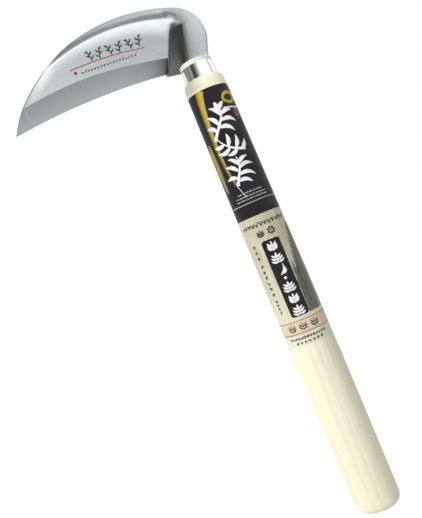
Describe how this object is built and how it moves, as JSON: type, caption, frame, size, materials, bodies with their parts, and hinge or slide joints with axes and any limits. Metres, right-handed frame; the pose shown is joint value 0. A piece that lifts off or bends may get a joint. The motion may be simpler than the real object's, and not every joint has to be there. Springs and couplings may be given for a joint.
{
  "type": "hand sickle",
  "caption": "One-handed weeding sickle: short crescent stainless blade with a pressed spine rib and cranked neck, set at a right angle on a long round wooden handle.",
  "frame": {"origin": "centre of the butt face, on the handle's axis", "axes": "+Z along the handle's axis from butt to head; the blade reaches out to -X; the ground side of the blade faces -Y and its back faces +Y"},
  "size_m": [0.1388, 0.03, 0.3445],
  "materials": {
    "stainless_plate": "fine brushed web, matte ground bevel",
    "pale_wood": "smooth unvarnished pale wood",
    "bright_plating": "bright plating",
    "steel_wire": "plain drawn steel",
    "black_film": "printed film, black ground",
    "cream_film": "printed film, cream ground"
  },
  "bodies": {
    "root": {"blade": "stainless_plate", "handle": "pale_wood", "ferrule": "bright_plating", "tang_pin": "steel_wire", "upper_label": "black_film", "lower_label": "cream_film"}
  },
  "joints": []
}
